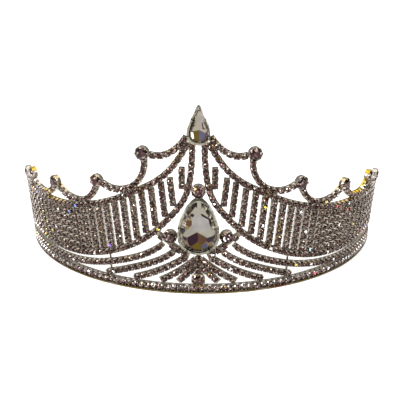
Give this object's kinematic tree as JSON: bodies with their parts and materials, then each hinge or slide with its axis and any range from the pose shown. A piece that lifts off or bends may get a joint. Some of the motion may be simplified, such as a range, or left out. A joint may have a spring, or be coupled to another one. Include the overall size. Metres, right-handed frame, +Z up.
{
  "type": "tiara",
  "caption": "Open ring tiara with a flat base strip and a flared lattice of crystal cup chains, scalloped edge, round tip stones and two pear-cut centre crystals.",
  "frame": {"origin": "centre of the bounding box's bottom, on the table under the tiara", "axes": "+Z up, -Y towards the front of the tiara (the centre crystals), +X to the right seen from the front, along the longest side"},
  "size_m": [0.1516, 0.0677, 0.0708],
  "materials": {
    "strip_metal": "bright plated strip",
    "wire_metal": "bright plated flat wire",
    "cup_metal": "bright plated cups",
    "setting_metal": "bright plated settings",
    "small_crystal": "clear foiled cut crystal",
    "round_crystal": "clear foiled cut crystal",
    "pear_crystal": "clear foiled pear-cut crystal"
  },
  "bodies": {
    "root": {"base_strip": "strip_metal", "accent_cups": "cup_metal", "accent_stones": "round_crystal", "base_cups": "cup_metal", "base_stones": "small_crystal", "base_wire_right": "wire_metal", "base_wire_left": "wire_metal", "swag_rail_cups": "cup_metal", "swag_rail_stones": "small_crystal", "swag_rail_wire_right": "wire_metal", "swag_rail_wire_left": "wire_metal", "upper_rail_cups": "cup_metal", "upper_rail_stones": "small_crystal", "upper_rail_wire_right": "wire_metal", "upper_rail_wire_left": "wire_metal", "middle_rail_cups": "cup_metal", "middle_rail_stones": "small_crystal", "middle_rail_wire_right": "wire_metal", "middle_rail_wire_left": "wire_metal", "scallop_cups": "cup_metal", "scallop_stones": "small_crystal", "scallop_wire_right": "wire_metal", "scallop_wire_left": "wire_metal", "ray_cups": "cup_metal", "ray_stones": "small_crystal", "ray_wire_right": "wire_metal", "ray_wire_left": "wire_metal", "link_cups": "cup_metal", "link_stones": "small_crystal", "link_wire_right": "wire_metal", "link_wire_left": "wire_metal", "picket_cups": "cup_metal", "picket_stones": "small_crystal", "picket_wire_right": "wire_metal", "picket_wire_left": "wire_metal", "end_post_cups": "cup_metal", "end_post_stones": "small_crystal", "end_post_wire_right": "wire_metal", "end_post_wire_left": "wire_metal", "struts": "wire_metal", "big_pear_setting": "setting_metal", "big_pear_stone": "pear_crystal", "top_pear_setting": "setting_metal", "top_pear_stone": "pear_crystal", "pear_prongs": "setting_metal"}
  },
  "joints": []
}
